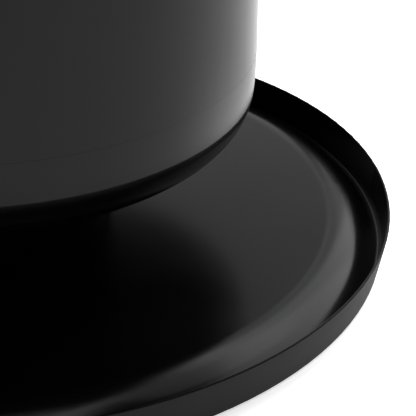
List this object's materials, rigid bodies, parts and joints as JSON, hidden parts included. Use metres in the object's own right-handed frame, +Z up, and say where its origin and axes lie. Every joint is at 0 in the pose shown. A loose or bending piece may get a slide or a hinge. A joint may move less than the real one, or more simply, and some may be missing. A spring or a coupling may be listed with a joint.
{
  "type": "umbrella stand",
  "caption": "Black cylindrical umbrella stand on a short stem above a wide round drip tray, with a lift-out liner that has a bail handle.",
  "frame": {"origin": "point on the floor under the middle of the tray", "axes": "+Z up along the axis of the cylinder, +Y towards the side the bail rests on, +X along the bail's pivot axis"},
  "size_m": [0.3598, 0.3598, 0.52],
  "materials": {
    "tray_paint": "satin black powder coat",
    "body_paint": "satin black powder coat",
    "steel": "zinc plated",
    "iron": "rough cast",
    "rubber": "matt",
    "liner_plastic": "fine grained",
    "bail_steel": "bright wire",
    "grip_plastic": "smooth"
  },
  "bodies": {
    "stand": {"drip_tray": "tray_paint", "foot_pads": "rubber", "stem_gasket": "rubber", "stem_tube": "tray_paint", "stem_lower_plate": "steel", "stem_upper_plate": "steel", "lower_weld_nuts": "steel", "upper_weld_nuts": "steel", "tray_washers": "steel", "tray_screws": "steel", "ballast_weight": "iron", "ballast_cushion": "rubber", "body_gasket": "rubber", "body_base_pan": "body_paint", "body_washers": "steel", "body_screws": "steel", "body_shell": "body_paint", "top_rim_bar": "body_paint", "liner_rest_pads": "rubber"},
    "liner": {"liner_bucket": "liner_plastic", "bail_brackets": "liner_plastic", "bail_rests": "liner_plastic", "umbrella_tip_mat": "rubber"},
    "bail": {"bail_wire": "bail_steel", "bail_grip": "grip_plastic"}
  },
  "joints": [
    {"name": "liner_lift", "type": "slide", "parent": "stand", "child": "liner", "axis": [0, 0, 1], "range_m": [0, 0.47]},
    {"name": "bail_swing", "type": "hinge", "parent": "liner", "child": "bail", "pos_m": [0, 0, 0.1584], "axis": [1, 0, 0], "range_deg": [0, 180]}
  ]
}
